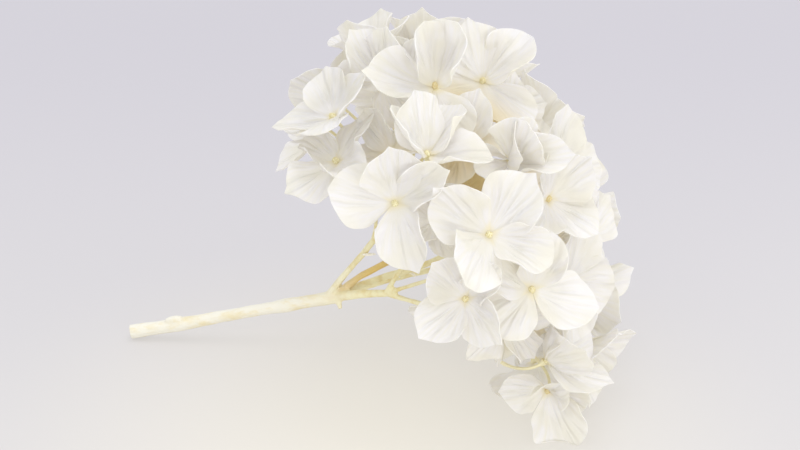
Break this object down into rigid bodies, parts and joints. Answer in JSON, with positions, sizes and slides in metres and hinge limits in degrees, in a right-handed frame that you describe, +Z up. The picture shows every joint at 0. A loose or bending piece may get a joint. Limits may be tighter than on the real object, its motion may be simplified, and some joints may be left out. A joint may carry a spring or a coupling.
{
  "type": "cut hydrangea",
  "caption": "Cut and dried white mophead hydrangea lying on its side: a domed head of broad-sepalled florets on forking branches from one bare stalk.",
  "frame": {"origin": "on the surface that the flower lies on, under the middle of its overall box", "axes": "+X from the cut end of the stalk towards the bloom, +Z up from the surface, +Y completing a right-handed set"},
  "size_m": [0.1746, 0.1456, 0.1333],
  "materials": {
    "stem": "matte",
    "branch": "matte",
    "sepal": "matte"
  },
  "bodies": {
    "root": {"branch_centre": "branch", "branch_lower_back": "branch", "branch_lower_front": "branch", "branch_middle": "branch", "branch_upper_back": "branch", "branch_upper_left": "branch", "floret_01": "sepal", "floret_02": "sepal", "floret_03": "sepal", "floret_04": "sepal", "floret_05": "sepal", "floret_06": "sepal", "floret_07": "sepal", "floret_08": "sepal", "floret_09": "sepal", "floret_10": "sepal", "floret_11": "sepal", "floret_12": "sepal", "floret_13": "sepal", "floret_14": "sepal", "floret_15": "sepal", "floret_16": "sepal", "floret_17": "sepal", "floret_18": "sepal", "floret_19": "sepal", "floret_20": "sepal", "floret_21": "sepal", "floret_22": "sepal", "floret_23": "sepal", "floret_24": "sepal", "floret_25": "sepal", "floret_26": "sepal", "floret_27": "sepal", "floret_28": "sepal", "floret_29": "sepal", "floret_30": "sepal", "floret_31": "sepal", "floret_32": "sepal", "floret_33": "sepal", "floret_34": "sepal", "floret_35": "sepal", "floret_36": "sepal", "floret_37": "sepal", "floret_38": "sepal", "floret_39": "sepal", "floret_40": "sepal", "floret_41": "sepal", "floret_42": "sepal", "floret_43": "sepal", "floret_44": "sepal", "floret_45": "sepal", "floret_46": "sepal", "floret_47": "sepal", "main_stem": "stem"}
  },
  "joints": []
}
